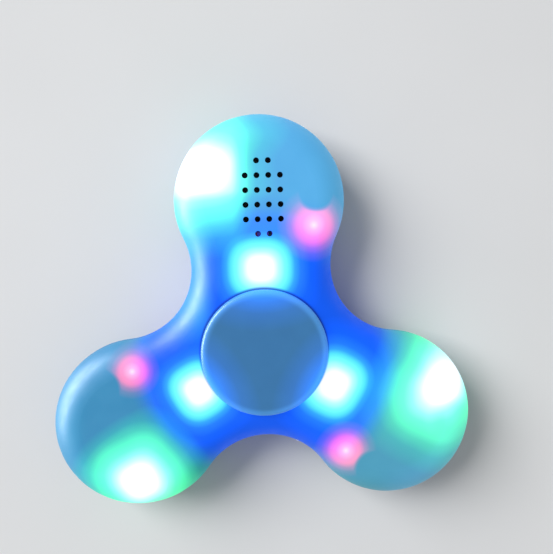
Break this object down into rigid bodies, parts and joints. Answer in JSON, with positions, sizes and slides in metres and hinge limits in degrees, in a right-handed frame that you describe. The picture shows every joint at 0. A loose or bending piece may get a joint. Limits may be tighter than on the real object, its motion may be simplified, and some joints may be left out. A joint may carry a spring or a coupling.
{
  "type": "light up hand spinner",
  "caption": "Translucent three-lobed hand spinner on a ball bearing between two finger caps, with coloured lamps, a small speaker, battery and charging socket inside.",
  "frame": {"origin": "centre of the bottom finger cap's flat outer face, on the spin axis", "axes": "+Z along the spin axis, towards the top finger cap and the speaker grille; +Y along the speaker arm"},
  "size_m": [0.0826, 0.0759, 0.0165],
  "materials": {
    "shell_plastic": "satin translucent blue, lit from inside",
    "cap_plastic": "satin blue",
    "button_plastic": "satin translucent blue",
    "ring_steel": "ground and polished",
    "ball_steel": "polished",
    "shield_steel": "stamped",
    "cage_nylon": "natural nylon",
    "screw_steel": "nickel plated",
    "board_laminate": "green solder mask",
    "lamp_white": "moulded white",
    "lens_blue": "lit blue",
    "lens_red": "lit red",
    "lens_green": "lit green",
    "speaker_plastic": "moulded black",
    "magnet_plating": "nickel plated",
    "iron_plating": "zinc plated",
    "coil_copper": "enamelled copper wire",
    "cone_film": "clear film over black",
    "surround_rubber": "soft",
    "foam_black": "open-cell foam",
    "mesh_cloth": "woven dust mesh",
    "pouch_foil": "pressed foil pouch",
    "tape_foam": "foam tape",
    "lead_red": "insulated wire",
    "lead_black": "insulated wire",
    "socket_plating": "tin plated",
    "socket_plastic": "moulded black",
    "contact_gold": "gold plated",
    "chip_resin": "moulded black resin with tinned legs",
    "crystal_can": "metal can",
    "antenna_ceramic": "fired white",
    "resistor_ceramic": "fired black",
    "capacitor_ceramic": "fired tan",
    "switch_plastic": "moulded black",
    "plunger_plastic": "moulded",
    "dome_steel": "spring steel"
  },
  "bodies": {
    "hub": {"finger_cap_top": "cap_plastic", "finger_cap_bottom": "cap_plastic", "bearing_inner_ring": "ring_steel"},
    "rotor": {"shell_top": "shell_plastic", "shell_bottom": "shell_plastic", "bearing_outer_ring": "ring_steel", "bearing_shield_top": "shield_steel", "bearing_shield_bottom": "shield_steel", "case_screws": "screw_steel", "circuit_board": "board_laminate", "lamp_blue_speaker": "lamp_white", "lamp_blue_battery": "lamp_white", "lamp_blue_socket": "lamp_white", "lamp_red_speaker": "lamp_white", "lamp_red_battery": "lamp_white", "lamp_red_socket": "lamp_white", "lamp_green_speaker": "lamp_white", "lamp_green_battery": "lamp_white", "lamp_green_socket": "lamp_white", "lamp_lenses_blue": "lens_blue", "lamp_lenses_red": "lens_red", "lamp_lenses_green": "lens_green", "speaker_frame": "speaker_plastic", "speaker_magnet": "magnet_plating", "speaker_yoke": "iron_plating", "speaker_pole_plate": "iron_plating", "speaker_surround": "surround_rubber", "speaker_gasket": "foam_black", "grille_mesh": "mesh_cloth", "battery_cell": "pouch_foil", "battery_tape": "tape_foam", "speaker_lead_red": "lead_red", "battery_lead_red": "lead_red", "speaker_lead_black": "lead_black", "battery_lead_black": "lead_black", "socket_can": "socket_plating", "socket_tongue": "socket_plastic", "socket_contacts": "contact_gold", "sound_chip": "chip_resin", "amplifier_chip": "chip_resin", "charger_chip": "chip_resin", "crystal": "crystal_can", "antenna": "antenna_ceramic", "resistors": "resistor_ceramic", "capacitors": "capacitor_ceramic", "switch_body": "switch_plastic", "switch_dome": "dome_steel"},
    "ball_cage": {"bearing_cage": "cage_nylon"},
    "ball_1": {"bearing_ball_1": "ball_steel"},
    "ball_2": {"bearing_ball_2": "ball_steel"},
    "ball_3": {"bearing_ball_3": "ball_steel"},
    "ball_4": {"bearing_ball_4": "ball_steel"},
    "ball_5": {"bearing_ball_5": "ball_steel"},
    "ball_6": {"bearing_ball_6": "ball_steel"},
    "ball_7": {"bearing_ball_7": "ball_steel"},
    "speaker_cone": {"speaker_diaphragm": "cone_film", "voice_coil": "coil_copper"},
    "power_button": {"button_cap": "button_plastic", "switch_plunger": "plunger_plastic"}
  },
  "joints": [
    {"name": "spin", "type": "hinge", "parent": "hub", "child": "rotor", "pos_m": [0, 0, 0.00825], "axis": [0, 0, 1], "continuous": true},
    {"name": "cage_spin", "type": "hinge", "parent": "hub", "child": "ball_cage", "pos_m": [0, 0, 0.00825], "axis": [0, 0, 1], "continuous": true},
    {"name": "ball_1_spin", "type": "hinge", "parent": "ball_cage", "child": "ball_1", "pos_m": [0.0075, 0, 0.00825], "axis": [0, 0, 1], "continuous": true},
    {"name": "ball_2_spin", "type": "hinge", "parent": "ball_cage", "child": "ball_2", "pos_m": [0.00468, 0.00586, 0.00825], "axis": [0, 0, 1], "continuous": true},
    {"name": "ball_3_spin", "type": "hinge", "parent": "ball_cage", "child": "ball_3", "pos_m": [-0.00167, 0.00731, 0.00825], "axis": [0, 0, 1], "continuous": true},
    {"name": "ball_4_spin", "type": "hinge", "parent": "ball_cage", "child": "ball_4", "pos_m": [-0.00676, 0.00325, 0.00825], "axis": [0, 0, 1], "continuous": true},
    {"name": "ball_5_spin", "type": "hinge", "parent": "ball_cage", "child": "ball_5", "pos_m": [-0.00676, -0.00325, 0.00825], "axis": [0, 0, 1], "continuous": true},
    {"name": "ball_6_spin", "type": "hinge", "parent": "ball_cage", "child": "ball_6", "pos_m": [-0.00167, -0.00731, 0.00825], "axis": [0, 0, 1], "continuous": true},
    {"name": "ball_7_spin", "type": "hinge", "parent": "ball_cage", "child": "ball_7", "pos_m": [0.00468, -0.00586, 0.00825], "axis": [0, 0, 1], "continuous": true},
    {"name": "cone_travel", "type": "slide", "parent": "rotor", "child": "speaker_cone", "axis": [0, 0, 1], "range_m": [-0.00025, 0.00025], "stiffness_N_per_m": 300, "deforming": ["speaker_surround"]},
    {"name": "button_press", "type": "slide", "parent": "rotor", "child": "power_button", "axis": [0, 0, 1], "range_m": [0, 0.0003], "stiffness_N_per_m": 4000, "springref_m": -0.00005, "deforming": ["switch_dome"]}
  ],
  "couplings": [
    {"joint": "cage_spin", "follows": "spin", "ratio": 0.63},
    {"joint": "ball_1_spin", "follows": "spin", "ratio": 1.793},
    {"joint": "ball_2_spin", "follows": "spin", "ratio": 1.793},
    {"joint": "ball_3_spin", "follows": "spin", "ratio": 1.793},
    {"joint": "ball_4_spin", "follows": "spin", "ratio": 1.793},
    {"joint": "ball_5_spin", "follows": "spin", "ratio": 1.793},
    {"joint": "ball_6_spin", "follows": "spin", "ratio": 1.793},
    {"joint": "ball_7_spin", "follows": "spin", "ratio": 1.793}
  ]
}
